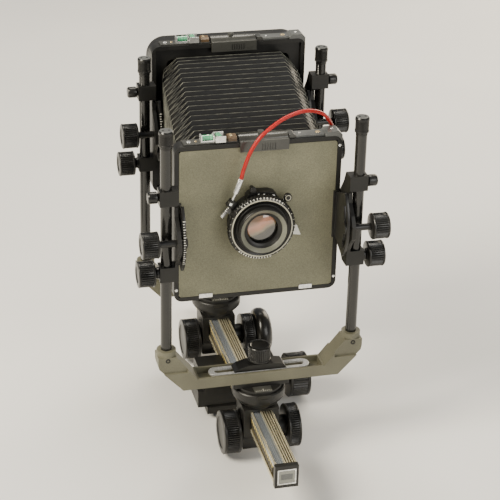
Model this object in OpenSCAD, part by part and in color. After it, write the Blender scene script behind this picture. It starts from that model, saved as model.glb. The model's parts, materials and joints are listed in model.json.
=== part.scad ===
// Monorail view camera with two U-shaped standards, a pleated bellows and a
// leaf-shutter lens on a square board.  X runs across the camera, Y runs from
// the lens to the back, Z is up.  The origin is the mouth of the tripod socket
// under the rail clamp.

/* [Rail] */
// Overall length of the rail with its end caps
rail_l = 457; // [300:1:500]
// Width of the rail
rail_w = 23; // [20:0.5:26]
// Height of the rail
rail_h = 24; // [20:0.5:28]
// Height of the rail's underside above the clamp's foot
rail_z = 30; // [28:0.5:34]
// How far the rail reaches ahead of the clamp at rest
rail_front = 223; // [170:1:240]

/* [Standards] */
// Distance between the front and the rear posts
std_gap = 203; // [150:1:300]
// Half the distance between the two posts of a standard
post_x = 98.5; // [96:0.5:105]
// Diameter of the posts
post_d = 11.5; // [9:0.1:12]
// Height of the top of the posts' caps
post_top = 373; // [330:1:400]
// Height of the underside of the U-bracket's bar
bar_z = 87; // [86:0.5:90]
// Depth of the U-bracket from front to back
bar_dep = 25; // [22:0.5:30]
// How far the rear frame is raised at rest
rise_rear = 31.5; // [0:0.5:40]
// How far the rear U-bracket is shifted sideways at rest
shift_rear = 16; // [-13:0.5:16]

/* [Frames] */
// Outer width and height of both frames
frame_s = 172; // [170:0.5:172]
// Thickness of the frames
frame_t = 16; // [14:0.5:18]
// Height of the frames' centre at rest, before any rise
frame_zc = 258.5; // [255:0.5:270]
// Distance of the frames' front faces behind the posts' axes
frame_y = 22; // [20:0.5:24]
// Corner radius of the frames
frame_r = 9; // [4:0.5:14]
// Width of the square lens board
board_s = 162; // [158:0.5:162]

/* [Lens] */
// Diameter of the shutter's housing
shutter_d = 64; // [58:0.5:66]
// Diameter of the speed ring
ring_d = 69; // [66:0.5:70]
// Diameter of the front glass
glass_d = 31; // [26:0.5:34]

/* [Bellows] */
// Outer width of the bellows
bellows_s = 152; // [146:0.5:154]
// Depth of the pleats
pleat_d = 9; // [6:0.5:12]

/* [Knobs] */
// Diameter of the focusing knobs
focus_d = 47; // [40:0.5:50]
// Diameter of the rise and tilt knobs
knob_d = 27; // [22:0.5:27]
// Diameter of the shift knobs
shift_knob_d = 24; // [20:0.5:26]
// Diameter of the rail clamp's knob
clamp_knob_d = 50; // [40:0.5:52]

/* [Cable] */
// Diameter of the cable release's sheath
cable_d = 4; // [3:0.1:4.5]

/* [Hidden] */
$fn = 64;
yf = -std_gap / 2;
yr = std_gap / 2;
rail_top = rail_z + rail_h;
axle_z = rail_z - 7.5;
screw_z = rail_z - 8;
roller_r = 7.4;
hr = rail_w / 2;
bar_t = 12;
bar_top = bar_z + bar_t;
sock_top = 132;
slip = 0.05;
low_z = 220;
up_z = 303;
pivot_y = frame_y + frame_t / 2;
tilt_y = -14.3;
hf = frame_s / 2;
plate_x = 87;
block_x = 91;
zt = frame_zc + hf;

// Cable release: points of the sheath's centre line
cable_pts = [[-21, -93, 312], [-19, -94, 322], [-13, -95, 340], [-3, -94, 355], [12, -91, 366],
  [25, -88, 372], [40, -84, 375], [54, -79, 373], [67, -72, 366], [76, -65, 355],
  [82, -58, 343], [86, -52, 328], [89, -47, 310], [90, -44, 290], [90, -43, 272]];

// ---------- shared shapes ----------
// Square with round corners made of exact arcs
module rsq(w, h, r) {
  square([w - 2 * r, h], center = true);
  square([w, h - 2 * r], center = true);
  for (i = [-1, 1], j = [-1, 1]) translate([i * (w / 2 - r), j * (h / 2 - r)]) circle(r = r);
}
// Plate in the XZ plane from y0 to y1 about height zc
module slab(y0, y1, zc = 0) translate([0, y1, zc]) rotate([90, 0, 0]) linear_extrude(y1 - y0) children();
// Box between two corners
module bx(a, b) translate(a) cube([b[0] - a[0], b[1] - a[1], b[2] - a[2]]);
// Cylinder along X from x0 to x1
module cx(x0, x1, y, z, r) translate([x0, y, z]) rotate([0, 90, 0]) cylinder(h = x1 - x0, r = r);
// Turned part about an axis along X; profile is [radius, x]
module turn_x(y, z, m = 1) translate([0, y, z]) rotate([0, 90 * m, 0]) rotate_extrude() children();
// Straight round rod between two points
module rod(p, q, r) {
  d = q - p;
  l = norm(d);
  translate(p) rotate([0, acos(d[2] / l), atan2(d[1], d[0])]) cylinder(h = l, r = r, $fn = 32);
}
// Knob profile with broken edges and a dished outer face
module knob_profile(r, x0, x1, hub) polygon([[0, x0], [r - 2, x0], [r, x0 + 1.6], [r, x1 - 1.6],
  [r - 2, x1], [hub, x1], [hub - 1, x1 - 1.2], [0, x1 - 1.2]]);

// ---------- rail and clamp ----------
module rail_section() difference() {
  translate([-hr, rail_z]) square([rail_w, rail_h]);
  translate([-9.6, rail_top - 1.2]) square([8, 3]);
  for (i = [0:3]) translate([0.6 + 2.5 * i, rail_top - 1.4]) square([1.3, 3]);
  translate([-hr - 1, rail_z + 4]) square([3.5, 15]);
  translate([hr - 2.5, rail_z + 4]) square([3.5, 15]);
  translate([-5.5, rail_z + 4]) square([11, 14]);
}
module rail() color("silver") translate([0, rail_l - rail_front - 6, 0]) rotate([90, 0, 0])
  linear_extrude(rail_l - 12) rail_section();
module rail_rack() {
  n = 70;
  p = 6;
  y0 = -n * p / 2 + 4;
  color("dimgray") translate([0, 0, rail_z + 5]) linear_extrude(13) polygon(concat(
    [[-hr + 2.5, y0]],
    [for (i = [0:n - 1], k = [0:3]) [-hr + 1 + (k == 1 || k == 2 ? 0.7 : 0), y0 + p * i + [0, 1.2, 3, 4.2][k]]],
    [[-hr + 1, y0 + n * p], [-hr + 2.5, y0 + n * p]]));
}
module rail_end_caps() color("black") for (s = [0, 1]) {
  y0 = s == 0 ? -rail_front : rail_l - rail_front - 6;
  bx([-hr - 0.8, y0, rail_z - 0.8], [hr + 0.8, y0 + 6, rail_top + 0.8]);
}
module clamp_body() color("#5b5746") difference() {
  union() {
    bx([-38, -29, 0], [30, 29, 8]);
    bx([-48, -26, 8], [36, 26, 28]);
    bx([-hr - slip, -26, 28], [hr + slip, 26, rail_z - slip]);
    bx([-42, -26, 27], [-hr - slip, 26, rail_top - 12]);
  }
  translate([0, 0, -1]) cylinder(h = 15, r = 4.76);
  cx(18, 40, 0, screw_z, 5 + slip);
}
module clamp_jaw() color("#3a382f") difference() {
  union() {
    bx([36, -24, 8], [44, 24, rail_top - 6]);
    bx([hr + 0.1, -24, 28], [37, 24, rail_top - 6]);
  }
  cx(30, 50, 0, screw_z, 5.1);
}
module clamp_knob() color("#1c1c1c") {
  cx(20, 45, 0, screw_z, 5);
  difference() {
    union() {
      cx(44.1, 59, 0, screw_z, 11);
      turn_x(0, screw_z) knob_profile(clamp_knob_d / 2, 58, 82, 15);
    }
    cx(40, 45, 0, screw_z, 5);
  }
}

// ---------- one standard: parts that slide on the rail ----------
module bearer_s() color("#23231f") difference() {
  union() {
    bx([-19, -17, rail_z - 21], [19, 17, rail_top + 3]);
    translate([0, 0, rail_top + 3]) cylinder(h = 2, r = 17);
    translate([0, 0, rail_top + 4]) cylinder(h = 11.5, r = 6);
    cx(18, 29.5, 0, axle_z, 12);
    cx(-20.8, -18, 0, axle_z, 12);
  }
  bx([-hr - slip, -20, rail_z - slip], [hr + slip, 20, rail_top + slip]);
  bx([-8, -9, axle_z - 9], [8, 9, rail_z + 1]);
  cx(-22, 31, 0, axle_z, 4 + slip);
  for (s = [-1, 1]) translate([0, s * 26, rail_z - 14]) rotate([0, 90, 0]) cylinder(h = 50, r = 12, center = true);
}
module focus_knob_s() color("#1c1c1c") {
  cx(-22, 36, 0, axle_z, 4);
  difference() {
    cx(-7, 7, 0, axle_z, roller_r);
    cx(-9, 9, 0, axle_z, 4);
  }
  difference() {
    mirror([1, 0, 0]) turn_x(0, axle_z) knob_profile(focus_d / 2, 21, 40, 17);
    cx(-23, -20, 0, axle_z, 4);
  }
}
module lock_knob_s(dome = false) color("#1c1c1c") difference() {
  union() {
    turn_x(0, axle_z) knob_profile(focus_d / 2, 30, 44, 15);
    if (dome) turn_x(0, axle_z) polygon([[0, 43], [15, 43], [26, 47], [28.5, 51], [28.5, 56], [26, 61], [18, 65], [0, 66]]);
  }
  cx(29, 37, 0, axle_z, 4 + slip);
}
// ---------- parts that swing ----------
module swivel_s() color("#2a2925") {
  difference() {
    rotate_extrude() polygon([[6 + slip, 59], [18, 59], [21, 61], [26.5, 67], [28, 69.5], [28, 78], [27, 79], [24.5, 79],
      [24.5, 82], [0, 82], [0, 70], [6 + slip, 70]]);
    bx([-8, -29, 75], [8, -26.4, 80]);
  }
  difference() {
    union() {
      bx([-30, -12.5, 82], [30, 12.5, bar_z]);
      bx([-6, -4, bar_z - 1], [6, 4, bar_top]);
      translate([0, 8, bar_top]) rotate([90, 0, 0]) linear_extrude(16)
        polygon([[-28, 0], [28, 0], [24, 5.5], [13, 7], [-13, 7], [-24, 3.5]]);
    }
    translate([0, 0, 92]) cylinder(h = 20, r = 3 + slip);
  }
}
module shift_knob_s() color("#1c1c1c") translate([0, 0, bar_top + 7]) {
  translate([0, 0, -10]) cylinder(h = 11, r = 3);
  difference() {
    rotate_extrude() polygon([[0, 0], [7, 0], [7, 2], [shift_knob_d / 2 - 1, 2], [shift_knob_d / 2, 3.2],
      [shift_knob_d / 2, 17.5], [shift_knob_d / 2 - 1.5, 19.5], [8, 19.5], [7.5, 19], [0, 19]]);
    translate([0, 0, -1]) cylinder(h = 2, r = 3);
  }
}
// ---------- parts that shift ----------
module u_bracket_s() color("#4a4739") {
  difference() {
  union() {
    slab(-bar_dep / 2, bar_dep / 2) polygon([[-83, bar_z], [83, bar_z], [post_x + 9, 113], [post_x + 10, 118], [post_x + 10, 126],
      [post_x - 9, 126], [68, bar_top], [-68, bar_top], [-post_x + 9, 126], [-post_x - 10, 126], [-post_x - 10, 118], [-post_x - 9, 113]]);
    for (s = [-1, 1]) translate([s * post_x, 0, 118]) cylinder(h = sock_top - 118, r = 10);
  }
  for (s = [-1, 1]) {
    translate([s * post_x, 0, 112]) cylinder(h = 30, r = post_d / 2);
    // the arms are slimmer at the top than the bar
    for (t = [-1, 1]) translate([s * post_x, t * 18.5, 120]) cube([40, 17, 24], center = true);
  }
  bx([-66, -10, bar_top - 7], [66, 10, bar_top + 20]);
  bx([-48, -4.1, bar_z - 1], [48, 4.1, bar_top]);
  }
  // raised seat that carries the slotted plate level with the bar's top
  translate([0, 0, bar_top - 7]) linear_extrude(4.5) difference() {
    square([104, 15], center = true);
    square([96, 8.2], center = true);
  }
}
module shift_plate_s() color("gainsboro") translate([0, 0, bar_top - 2.5]) linear_extrude(2.5) difference() {
  union() { square([92, 16], center = true); for (s = [-1, 1]) translate([s * 46, 0]) circle(r = 8); }
  union() { square([88, 8.2], center = true); for (s = [-1, 1]) translate([s * 44, 0]) circle(r = 4.1); }
}
module posts_s() color("#26251f") for (s = [-1, 1]) translate([s * post_x, 0, 112])
  cylinder(h = post_top - 19 - 112, r = post_d / 2);
module post_caps_s() color("#1c1c1c") for (s = [-1, 1]) translate([s * post_x, 0, post_top - 19]) difference() {
  rotate_extrude() polygon([[0, 0], [6, 0], [6, 2], [7.25, 3], [7.25, 17.5], [6.2, 19], [0, 19]]);
  for (t = [-1, 1]) translate([t * 3, 0, 17]) cylinder(h = 3, r = 0.9);
}
// ---------- parts that rise ----------
module carriage_s() color("#3f3d31") for (s = [0, 1]) mirror([s, 0, 0]) {
  difference() {
    union() {
      bx([plate_x + 1, -7.5, low_z - 8], [block_x + 15, 7.5, low_z + 8]);
      bx([plate_x + 1, -7.5, up_z - 8], [block_x + 15, 7.5, up_z + 8]);
      translate([plate_x, 0, 0]) rotate([90, 0, 90]) linear_extrude(4)
        polygon([[-7.5, 311], [7.5, 311], [15, 297], [32, 276], [37, 262], [36, 245], [24, 228], [7.5, 212], [-7.5, 212], [-7.5, 230],
          [-14, 240], [-22, 249], [-23, 262], [-16, 272], [-5, 282], [-4, 292], [-7.5, 296]]);
      cx(73, plate_x + 1, pivot_y, frame_zc, 3);
    }
    for (z = [low_z, up_z]) translate([post_x, 0, z - 10]) cylinder(h = 20, r = post_d / 2 + slip);
    cx(post_x, 110, 0, low_z, 3 + slip);
    cx(80, 100, tilt_y, frame_zc, 3.5 + slip);
    bx([block_x, 8.4, 200], [block_x + 30, 60, 330]);
  }
}
module clip_knobs_s() color("#1c1c1c") for (s = [0, 1]) mirror([s, 0, 0])
  turn_x(0, up_z) polygon([[0, block_x + 15], [4, block_x + 15], [4, block_x + 16], [6, block_x + 17], [6, block_x + 24.5], [5, block_x + 26], [0, block_x + 26]]);
module rise_knobs_s() color("#1c1c1c") for (s = [0, 1]) mirror([s, 0, 0]) {
  cx(post_x + post_d / 2 + 0.2, 107, 0, low_z, 3);
  turn_x(0, low_z) polygon([[0, 106.2], [6, 106.2], [6, 110.5], [knob_d / 2 - 1.5, 110.5], [knob_d / 2, 112],
    [knob_d / 2, 126.5], [knob_d / 2 - 1.5, 128], [9, 128], [8, 127], [0, 127]]);
}
module tilt_knobs_s() color("#1c1c1c") for (s = [0, 1]) mirror([s, 0, 0]) {
  cx(81, 109, tilt_y, frame_zc, 3.5);
  cx(80.4, 81.8, tilt_y, frame_zc, 6);
  turn_x(tilt_y, frame_zc) polygon([[0, 108.9], [knob_d / 2 - 1.5, 108.9], [knob_d / 2, 110.4],
    [knob_d / 2, 125], [knob_d / 2 - 1.5, 126.5], [9, 126.5], [8, 125.5], [0, 125.5]]);
}
// ---------- parts that tilt ----------
module frame_s_(front) color("#33312a") difference() {
  slab(frame_y, frame_y + frame_t, frame_zc) rsq(frame_s, frame_s, frame_r);
  slab(frame_y - 1, frame_y + 4, frame_zc) square(board_s + 0.6, center = true);
  slab(frame_y + 3, frame_y + frame_t + 1, frame_zc) rsq(138, 138, 6);
  for (s = [-1, 1]) translate([s * (hf - 7), pivot_y, frame_zc]) rotate([0, 90, 0]) cylinder(h = 16, r = 3 + slip, center = true);
}
module quadrants_s() color("#26251f") for (s = [0, 1]) mirror([s, 0, 0]) {
  R = pivot_y - tilt_y;
  translate([82, 0, 0]) difference() {
    union() {
      // sector plate about the tilt axis, cut off at the frame's face
      intersection() {
        translate([0, pivot_y, frame_zc]) rotate([0, 90, 0]) cylinder(h = 3, r = R + 6.5);
        translate([0, pivot_y, frame_zc]) rotate([90, 0, 90]) linear_extrude(3)
          polygon([[-8, -24], [-8, 24], [-38, 36], [-60, 38], [-60, -38], [-38, -36]]);
      }
      bx([-3, frame_y - 2, frame_zc - 26], [3, frame_y, frame_zc + 26]);
    }
    // arc slot for the locking shaft
    translate([-1, pivot_y, frame_zc]) intersection() {
      difference() {
        rotate([0, 90, 0]) cylinder(h = 5, r = R + 3.7);
        translate([-1, 0, 0]) rotate([0, 90, 0]) cylinder(h = 7, r = R - 3.7);
      }
      rotate([90, 0, 90]) linear_extrude(5) polygon([[0, 0], [-100 * cos(30.5), -100 * sin(30.5)], [-140, 0], [-100 * cos(30.5), 100 * sin(30.5)]]);
    }
  }
}
module top_bar_s() color("#3a382f") {
  bx([-hf + 9, frame_y + 2, zt], [-21, frame_y + 15, zt + 1.5]);
  // carriers of the two levels
  for (x = [-58.5, -46]) bx([x, frame_y + 3.5, zt + 1.5], [x + 1.5, frame_y + 12.5, zt + 8]);
  for (y = [0.8, 13.2]) bx([-44.4, frame_y + y, zt + 1.5], [-33.5, frame_y + y + 1.5, zt + 8]);
  bx([-31, frame_y + 2, zt + 1.5], [-22, frame_y + 14, zt + 6]);
  bx([31, frame_y + 2, zt], [38, frame_y + 15, zt + 4]);
  bx([38, frame_y + 2, zt], [68, frame_y + 15, zt + 2.5]);
  // block that caps the right-hand corner
  translate([0, frame_y + frame_t, 0]) rotate([90, 0, 0]) linear_extrude(frame_t) difference() {
    polygon([[68, zt], [68, zt + 2.5], [71, zt + 5], [hf - 4, zt + 5], [hf, zt + 1], [hf, zt - frame_r], [hf - frame_r, zt - frame_r], [hf - frame_r, zt]]);
    translate([hf - frame_r, zt - frame_r]) circle(r = frame_r);
  }
}
module vials_s() color("mediumseagreen") {
  cx(-56.9, -46.1, frame_y + 8, zt + 4.8, 3);
  translate([-39, frame_y + 13, zt + 4.8]) rotate([90, 0, 0]) cylinder(h = 10.5, r = 3);
}
module latch_s() color("#4a4739") {
  difference() {
    cx(-20, 30, frame_y + 8, zt - 1, 7);
    bx([-22, frame_y, zt - 10], [32, frame_y + 18, zt]);
  }
  difference() {
    bx([-20, frame_y - 3, zt - 9], [30, frame_y + 1.6, zt + 2]);
    bx([-22, frame_y - 0.05, zt - 12], [32, frame_y + 4, zt]);
    for (i = [0:5]) bx([2 + 2.6 * i, frame_y - 4, zt - 8], [3.2 + 2.6 * i, frame_y - 2.2, zt - 1]);
  }
  translate([3, frame_y + 8, zt + 5.6]) cylinder(h = 3, r = 3.2, $fn = 32);
}

// ---------- lens ----------
module lens_at() translate([0, yf + frame_y, frame_zc]) rotate([90, 0, 0]) children();
module lens_board() color("#55523f") difference() {
  translate([0, yf, 0]) slab(frame_y, frame_y + 4, frame_zc) rsq(board_s, board_s, 3);
  translate([0, yf + frame_y - 1, frame_zc]) rotate([-90, 0, 0]) cylinder(h = 8, r = 20.5);
}
module board_clips() color("gainsboro") for (s = [-1, 1])
  bx([s * 53 - 7, yf + frame_y - 1.6, frame_zc - 83], [s * 53 + 7, yf + frame_y, frame_zc - 78.5]);
module shutter() color("#1a1a1a") lens_at() {
  difference() {
    union() {
      cylinder(h = 13, r = shutter_d / 2);
      cylinder(h = 20, r = 27);
      // housing of the shutter's controls at the top and the cable socket
      bx([-15, 24, 2], [18, 37, 11]);
      rotate([0, 0, 140]) bx([28, -4, 6.5], [43, 4, 12.5]);
      translate([-7, 38, 4]) cylinder(h = 8, r = 3, $fn = 32);
    }
    translate([0, 0, -1]) cylinder(h = 30, r = 20);
  }
}
module speed_ring() color("#24241f") lens_at() difference() {
  rotate_extrude() polygon([[27 + slip, 13.2], [ring_d / 2, 13.2], [ring_d / 2, 18], [ring_d / 2 - 1, 20], [31, 20.5], [27 + slip, 20.5]]);
  for (a = [0:15:345]) rotate([0, 0, a]) translate([ring_d / 2 + 0.4, 0, 12]) cylinder(h = 12, r = 1.3, $fn = 16);
}
module lens_cells() color("#2c2a22") lens_at() {
  rotate_extrude() polygon([[15.6, 2], [20, 2], [20, 20.6], [24.4, 20.6], [24.6, 28], [23.4, 28], [16.5, 23], [15.6, 22.5]]);
  rotate_extrude() polygon([[14.1, -24], [22, -24], [22, -4.4], [20, -4.4], [20, 1.5], [14.1, 1.5]]);
}
module lens_glass() color("lightpink", 0.6) lens_at() {
  rg = glass_d / 2;
  rotate_extrude() polygon(concat([[0, 18.5], [rg, 18.5]], [for (i = [0:8]) [rg * (1 - i / 8), 19.5 + 2.6 * (1 - pow(1 - i / 8, 2))]]));
  rotate_extrude() polygon([[0, -20], [14, -20], [14, -22], [8, -23.4], [0, -23.8]]);
}
module release_lever() color("gainsboro") lens_at() {
  translate([0, 0, 3]) linear_extrude(3) {
    translate([-31.8, 16.6]) rotate(49) translate([-10.5, -1.5]) square([20, 3]);
    rotate(155) translate([32.3, -2.2]) square([4, 4.4]);
  }
}
module cocking_lever() color("#24241f") lens_at() {
  rotate([0, 0, 44]) {
    bx([32.3, -2.2, 8], [37, 2.2, 11]);
    translate([39.5, 0, 7.5]) cylinder(h = 4.5, r = 4.2, $fn = 32);
  }
}
module aperture_pointer() color("ghostwhite") lens_at()
  translate([0, 0, 1.5]) linear_extrude(3) polygon([[31.6, -8], [40.5, -7], [45, -18.6], [36.6, -17.4], [31.2, -12.5]]);

// ---------- cable release ----------
function unit(v) = v / norm(v);
function tang(p, i) = i == 0 ? unit(p[1] - p[0]) : i == len(p) - 1 ? unit(p[i] - p[i - 1]) : unit(p[i + 1] - p[i - 1]);
function cr(a, b, c, d, t) = 0.5 * ((2 * b) + (c - a) * t + (2 * a - 5 * b + 4 * c - d) * t * t + (3 * b - a - 3 * c + d) * t * t * t);
function smooth(p, m) = concat([for (i = [0:len(p) - 2], k = [0:m - 1])
  cr(i == 0 ? 2 * p[0] - p[1] : p[i - 1], p[i], p[i + 1], i == len(p) - 2 ? 2 * p[i + 1] - p[i] : p[i + 2], k / m)], [p[len(p) - 1]]);
module tube(p, r, n) {
  s = len(p);
  rings = [for (i = [0:s - 1]) let (t = tang(p, i), a = unit(cross(t, [0.3, 1, 0.2])), b = cross(t, a))
    [for (k = [0:n - 1]) p[i] + r * (cos(360 * k / n) * a + sin(360 * k / n) * b)]];
  polyhedron(points = [for (q = rings, v = q) v],
    faces = concat([[for (k = [0:n - 1]) k]],
      [for (i = [0:s - 2], k = [0:n - 1]) [i * n + k, (i + 1) * n + k, (i + 1) * n + (k + 1) % n, i * n + (k + 1) % n]],
      [[for (k = [n - 1:-1:0]) (s - 1) * n + k]]));
}
cable_a = [-31, -89.5, 283];
cable_b = [-28, -90.3, 291];
cable_c = [-26, -91, 296];
module cable_ferrule() color("gainsboro") {
  rod(cable_a, cable_a + 3 * unit(cable_b - cable_a), 3);
  rod(cable_a + 3 * unit(cable_b - cable_a), cable_c, 1.3);
  rod(cable_c, cable_pts[0] , 2.6);
}
module cable_sheath() color("#b3202a") tube(smooth(cable_pts, 2), cable_d / 2, 8);
module cable_grip() color("gainsboro") {
  e = cable_pts[len(cable_pts) - 1];
  translate([e[0], e[1], 0]) difference() {
    rotate_extrude() polygon([[0, e[2]], [2.6, e[2]], [2.6, e[2] - 14], [3.6, e[2] - 16], [3.6, e[2] - 26], [7.5, e[2] - 28], [7.5, e[2] - 30], [0, e[2] - 30]]);
    translate([0, 0, e[2] - 31]) cylinder(h = 25, r = 2.05, $fn = 32);
  }
}
module cable_plunger() color("silver") {
  e = cable_pts[len(cable_pts) - 1];
  translate([e[0], e[1], 0]) rotate_extrude() polygon([[0, e[2] - 22], [2, e[2] - 22], [2, e[2] - 42], [5, e[2] - 43], [5.5, e[2] - 45], [4, e[2] - 46.5], [0, e[2] - 47]]);
}

// ---------- bellows and back ----------
function oct(s, m, y, cx0, cz) = [[-s, s - m], [-s + m, s], [s - m, s], [s, s - m], [s, -s + m], [s - m, -s], [-s + m, -s], [-s, -s + m]]
  * 1;
function ring8(s, m, y, x0, z0) = [for (q = oct(s, m, y, x0, z0)) [q[0] + x0, y, q[1] + z0]];
module bellows() color("#121212") {
  y0 = yf + frame_y + frame_t;
  y1 = yr + frame_y + 4;
  so = bellows_s / 2;
  si = so - pleat_d - 4;
  pts = concat(ring8(so, 12, y0, 0, frame_zc), ring8(so, 12, y1, shift_rear, frame_zc + rise_rear),
    ring8(si, 8, y0, 0, frame_zc), ring8(si, 8, y1, shift_rear, frame_zc + rise_rear));
  polyhedron(points = pts, faces = concat(
    [for (k = [0:7]) [k, (k + 1) % 8, 8 + (k + 1) % 8, 8 + k]],
    [for (k = [0:7]) [16 + k, 24 + k, 24 + (k + 1) % 8, 16 + (k + 1) % 8]],
    [for (k = [0:7]) [k, 16 + k, 16 + (k + 1) % 8, (k + 1) % 8]],
    [for (k = [0:7]) [8 + k, 8 + (k + 1) % 8, 24 + (k + 1) % 8, 24 + k]]));
}
module back_at() translate([shift_rear, yr, rise_rear]) children();
back_y = frame_y + frame_t;
module back_frame() color("#1d1c19") back_at() difference() {
  union() {
    slab(back_y, back_y + 6, frame_zc) rsq(frame_s, frame_s, 12);
    slab(back_y + 6, back_y + 19, frame_zc) rsq(frame_s, frame_s, 20);
  }
  slab(back_y - 1, back_y + 20, frame_zc) rsq(126, 102, 3);
}
module glass_frame() color("#1d1c19") back_at() difference() {
  slab(back_y + 19, back_y + 30, frame_zc) rsq(146, 138, 6);
  slab(back_y + 18, back_y + 22, frame_zc) square([132, 108], center = true);
  slab(back_y + 18, back_y + 31, frame_zc) rsq(120, 96, 2);
}
module ground_glass() color("white", 0.5) back_at() slab(back_y + 19.4, back_y + 22, frame_zc) square([131, 107], center = true);
module back_springs() color("silver") back_at() for (s = [-1, 1]) translate([s * 78, 0, frame_zc]) {
  difference() {
    translate([-3.5, back_y - 150, 0]) rotate([0, 90, 0]) cylinder(h = 7, r = 178, $fn = 128);
    translate([-5, back_y - 150, 0]) rotate([0, 90, 0]) cylinder(h = 10, r = 176.8, $fn = 128);
    bx([-10, -400, -300], [10, back_y + 19.5, 300]);
  }
  for (t = [-1, 1]) translate([0, back_y + 19, t * 55]) rotate([-90, 0, 0]) cylinder(h = 3, r = 3.2, $fn = 32);
}

// ---------- placing the standards ----------
module F() translate([0, yf, 0]) children();
module R0() translate([0, yr, 0]) children();
module R1() translate([shift_rear, yr, 0]) children();
module R2() translate([shift_rear, yr, rise_rear]) children();
module front_bearer() F() bearer_s();
module front_focus_knob() F() focus_knob_s();
module front_lock_knob() F() lock_knob_s();
module front_swivel() F() swivel_s();
module front_shift_knob() F() shift_knob_s();
module front_u_bracket() F() u_bracket_s();
module front_shift_plate() F() shift_plate_s();
module front_posts() F() posts_s();
module front_post_caps() F() post_caps_s();
module front_carriage() F() carriage_s();
module front_clip_knobs() F() clip_knobs_s();
module front_rise_knobs() F() rise_knobs_s();
module front_tilt_knobs() F() tilt_knobs_s();
module front_frame() F() frame_s_(true);
module front_quadrants() F() quadrants_s();
module front_top_bar() F() top_bar_s();
module front_vials() F() vials_s();
module front_latch() F() latch_s();
module rear_bearer() R0() bearer_s();
module rear_focus_knob() R0() focus_knob_s();
module rear_lock_knob() R0() lock_knob_s(true);
module rear_swivel() R0() swivel_s();
module rear_shift_knob() R0() shift_knob_s();
module rear_u_bracket() R1() u_bracket_s();
module rear_shift_plate() R1() shift_plate_s();
module rear_posts() R1() posts_s();
module rear_post_caps() R1() post_caps_s();
module rear_carriage() R2() carriage_s();
module rear_clip_knobs() R2() clip_knobs_s();
module rear_rise_knobs() R2() rise_knobs_s();
module rear_tilt_knobs() R2() tilt_knobs_s();
module rear_frame() R2() frame_s_(false);
module rear_quadrants() R2() quadrants_s();
module rear_top_bar() R2() top_bar_s();
module rear_vials() R2() vials_s();
module rear_latch() R2() latch_s();

// ---------- drawing ----------
clamp_body();
clamp_jaw();
clamp_knob();
rail();
rail_rack();
rail_end_caps();
front_bearer();
front_focus_knob();
front_lock_knob();
front_swivel();
front_shift_knob();
front_u_bracket();
front_shift_plate();
front_posts();
front_post_caps();
front_carriage();
front_clip_knobs();
front_rise_knobs();
front_tilt_knobs();
front_frame();
front_quadrants();
front_top_bar();
front_vials();
front_latch();
rear_bearer();
rear_focus_knob();
rear_lock_knob();
rear_swivel();
rear_shift_knob();
rear_u_bracket();
rear_shift_plate();
rear_posts();
rear_post_caps();
rear_carriage();
rear_clip_knobs();
rear_rise_knobs();
rear_tilt_knobs();
rear_frame();
rear_quadrants();
rear_top_bar();
rear_vials();
rear_latch();
lens_board();
board_clips();
shutter();
speed_ring();
lens_cells();
lens_glass();
release_lever();
cocking_lever();
aperture_pointer();
cable_ferrule();
cable_sheath();
cable_grip();
cable_plunger();
bellows();
back_frame();
glass_frame();
ground_glass();
back_springs();
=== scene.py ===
import math
import bmesh
import bpy
from mathutils import Matrix, Vector
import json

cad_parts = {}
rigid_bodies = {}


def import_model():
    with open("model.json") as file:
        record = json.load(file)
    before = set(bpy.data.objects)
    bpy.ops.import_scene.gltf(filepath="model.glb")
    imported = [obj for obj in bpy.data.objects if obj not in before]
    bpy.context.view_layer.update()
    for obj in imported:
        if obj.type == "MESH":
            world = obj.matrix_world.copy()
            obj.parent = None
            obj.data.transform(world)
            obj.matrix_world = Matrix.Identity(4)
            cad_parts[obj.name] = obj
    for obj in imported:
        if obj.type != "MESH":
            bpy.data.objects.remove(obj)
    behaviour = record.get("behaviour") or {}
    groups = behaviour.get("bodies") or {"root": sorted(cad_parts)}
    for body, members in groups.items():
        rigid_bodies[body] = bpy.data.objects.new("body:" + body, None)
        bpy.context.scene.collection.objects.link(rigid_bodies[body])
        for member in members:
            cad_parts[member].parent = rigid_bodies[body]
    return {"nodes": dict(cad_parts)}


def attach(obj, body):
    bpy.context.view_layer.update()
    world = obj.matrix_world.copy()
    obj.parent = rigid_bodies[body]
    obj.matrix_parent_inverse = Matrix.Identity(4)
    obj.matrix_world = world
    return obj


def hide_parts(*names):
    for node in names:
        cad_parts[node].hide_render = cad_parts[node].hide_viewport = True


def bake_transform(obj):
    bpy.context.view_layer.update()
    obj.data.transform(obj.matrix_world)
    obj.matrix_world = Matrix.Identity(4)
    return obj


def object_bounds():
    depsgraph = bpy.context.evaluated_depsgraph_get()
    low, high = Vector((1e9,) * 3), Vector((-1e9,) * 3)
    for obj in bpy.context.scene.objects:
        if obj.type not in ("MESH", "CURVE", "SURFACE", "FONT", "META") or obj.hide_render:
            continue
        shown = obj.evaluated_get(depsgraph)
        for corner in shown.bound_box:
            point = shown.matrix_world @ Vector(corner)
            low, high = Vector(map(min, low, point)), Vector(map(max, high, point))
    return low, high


for _o in list(bpy.data.objects):
    bpy.data.objects.remove(_o)
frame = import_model()
cad_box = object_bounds()
N = frame["nodes"]

YF, YR = -101.5, 101.5          # the two posts' planes
SX, SZ = 16.0, 31.5             # rear shift and rise at rest
ZC = 258.5                      # centre of the front frame
STD = {"front": (0.0, YF, 0.0), "rear": (SX, YR, SZ)}


# ------------------------------------------------------------------ materials
def new_mat(name, rough=0.4, metal=0.0, spec=0.5, coat=0.0, coat_rough=0.1, sheen=0.0):
    m = bpy.data.materials.new(name)
    m.use_nodes = True
    nt = m.node_tree
    b = nt.nodes["Principled BSDF"]
    b.inputs["Roughness"].default_value = rough
    b.inputs["Metallic"].default_value = metal
    b.inputs["Specular IOR Level"].default_value = spec
    b.inputs["Coat Weight"].default_value = coat
    b.inputs["Coat Roughness"].default_value = coat_rough
    b.inputs["Sheen Weight"].default_value = sheen
    return m, nt, b


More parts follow.
